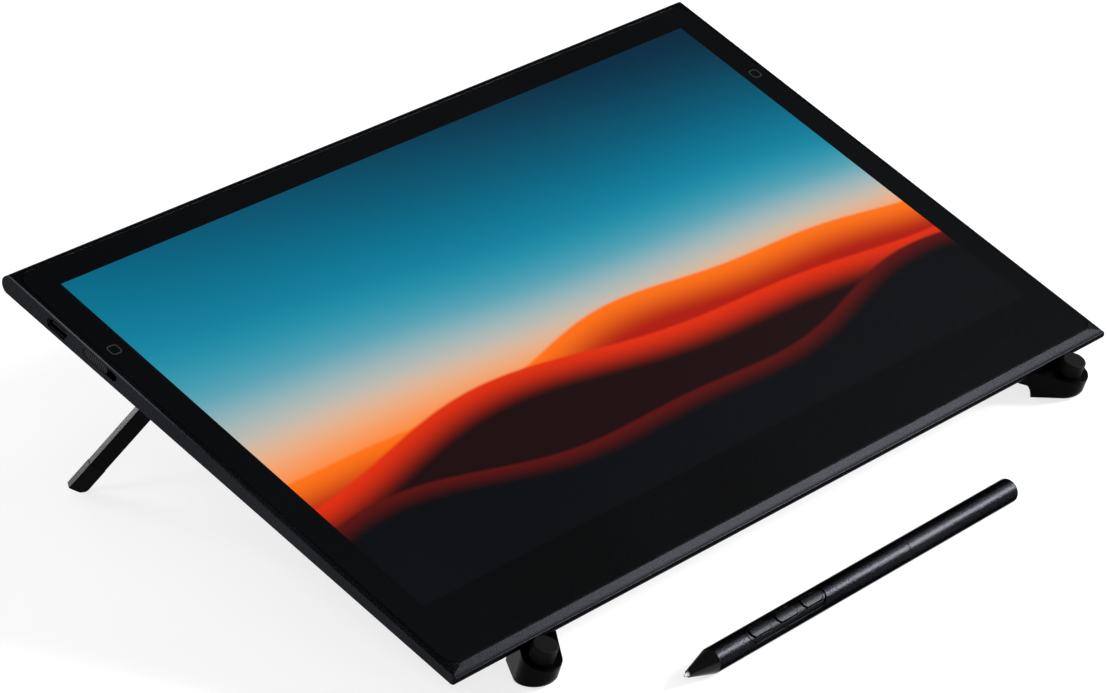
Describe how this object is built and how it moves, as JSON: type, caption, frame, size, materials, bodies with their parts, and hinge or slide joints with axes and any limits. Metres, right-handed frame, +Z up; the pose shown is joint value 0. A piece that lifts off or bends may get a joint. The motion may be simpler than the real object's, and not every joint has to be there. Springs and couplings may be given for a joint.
{
  "type": "graphics tablet with screen",
  "caption": "Slim wedge-shaped pen display with a bordered glass screen, leaning on a folding scissor stand with stop knobs and fold-out legs, with its buttoned pen beside it.",
  "frame": {"origin": "on the desk, under the middle of the box round the whole set", "axes": "+X to the user's right along the screen, +Y to the back, +Z up"},
  "size_m": [0.319, 0.2348, 0.0846],
  "materials": {
    "dark_metal": "fine bead-blasted, near black",
    "dark_sheet": "painted matte, near black",
    "screen_glass": "etched matte, black border round the picture",
    "tape": "black foam tape",
    "clear_bond": "clear adhesive",
    "panel": "screen panel",
    "circuit_board": "solder mask",
    "steel_foil": "thin plated sheet",
    "flex_film": "polyimide film",
    "port_shell": "plated shell",
    "key_plastic": "fine grip texture",
    "black_plastic": "plain",
    "screw_steel": "dark plated",
    "rubber": "matte",
    "stand_plastic": "satin moulded",
    "leg_metal": "satin, near black",
    "pen_plastic": "satin with a fine speckle",
    "pen_gloss": "glossy",
    "nib_plastic": "plain",
    "copper_coil": "wound wire",
    "ferrite": "sintered"
  },
  "bodies": {
    "lower_arm": {"lower_arm": "stand_plastic", "front_left_stop": "rubber", "front_left_sole": "rubber", "lower_arm_pads": "rubber", "pivot_pin": "screw_steel", "pivot_cap": "screw_steel", "pivot_washer": "black_plastic", "right_hinge_pin": "screw_steel"},
    "upper_arm": {"upper_arm": "stand_plastic", "front_right_stop": "rubber", "front_right_sole": "rubber", "upper_arm_pads": "rubber", "left_hinge_pin": "screw_steel"},
    "left_leg": {"left_leg": "leg_metal", "left_tip": "rubber"},
    "right_leg": {"right_leg": "leg_metal", "right_tip": "rubber"},
    "display": {"housing": "dark_metal", "rear_cover": "dark_sheet", "cover_glass": "screen_glass", "glass_adhesive": "tape", "optical_bond": "clear_bond", "display_panel": "panel", "pen_sensor_board": "circuit_board", "shield_plate": "steel_foil", "main_board": "circuit_board", "board_shield": "steel_foil", "panel_flex": "flex_film", "usb_port_left": "port_shell", "usb_port_right": "port_shell", "power_switch": "black_plastic", "touch_key_left": "flex_film", "touch_key_right": "flex_film", "housing_screws": "screw_steel", "rubber_feet": "rubber"},
    "power_slider": {"power_slider": "key_plastic"},
    "pen": {"pen_front_barrel": "pen_plastic", "pen_rear_barrel": "pen_plastic", "pen_nose": "pen_gloss", "pen_tail_cap": "pen_plastic", "pen_button_panel": "pen_plastic", "pen_board": "circuit_board", "pen_switches": "steel_foil", "pen_coil": "copper_coil", "pen_ferrite": "ferrite", "pen_pressure_sensor": "black_plastic"},
    "pen_nib": {"pen_nib": "nib_plastic"},
    "pen_button_front": {"pen_button_front": "pen_plastic"},
    "pen_button_middle": {"pen_button_middle": "pen_plastic"},
    "pen_button_rear": {"pen_button_rear": "pen_plastic"}
  },
  "joints": [
    {"name": "scissor", "type": "hinge", "parent": "lower_arm", "child": "upper_arm", "pos_m": [0.005, 0.01283, 0.03641], "axis": [0, -0.3301, 0.9439], "range_deg": [-102, 0]},
    {"name": "left_leg_fold", "type": "hinge", "parent": "upper_arm", "child": "left_leg", "pos_m": [-0.10827, 0.077, 0.05827], "axis": [-0.5135, -0.81, -0.2833], "range_deg": [0, 116]},
    {"name": "right_leg_fold", "type": "hinge", "parent": "lower_arm", "child": "right_leg", "pos_m": [0.11826, 0.077, 0.05827], "axis": [-0.5135, 0.81, 0.2833], "range_deg": [0, 116]},
    {"name": "display_lift", "type": "slide", "parent": "lower_arm", "child": "display", "axis": [0, 0, 1], "range_m": [0, 0.12]},
    {"name": "power_slide", "type": "slide", "parent": "display", "child": "power_slider", "axis": [0, -0.9439, -0.3301], "range_m": [0, 0.0042], "stiffness_N_per_m": 150, "springref_m": -0.002},
    {"name": "pen_lift", "type": "slide", "parent": "lower_arm", "child": "pen", "axis": [0, 0, 1], "range_m": [0, 0.12]},
    {"name": "nib_press", "type": "slide", "parent": "pen", "child": "pen_nib", "axis": [0.9999, 0.0105, 0], "range_m": [0, 0.0004], "stiffness_N_per_m": 800, "springref_m": -0.0002},
    {"name": "pen_button_front_press", "type": "slide", "parent": "pen", "child": "pen_button_front", "axis": [-0.0054, 0.515, -0.8572], "range_m": [0, 0.0003], "stiffness_N_per_m": 600, "springref_m": -0.0002},
    {"name": "pen_button_middle_press", "type": "slide", "parent": "pen", "child": "pen_button_middle", "axis": [-0.0054, 0.515, -0.8572], "range_m": [0, 0.0003], "stiffness_N_per_m": 600, "springref_m": -0.0002},
    {"name": "pen_button_rear_press", "type": "slide", "parent": "pen", "child": "pen_button_rear", "axis": [-0.0054, 0.515, -0.8572], "range_m": [0, 0.0003], "stiffness_N_per_m": 600, "springref_m": -0.0002}
  ]
}
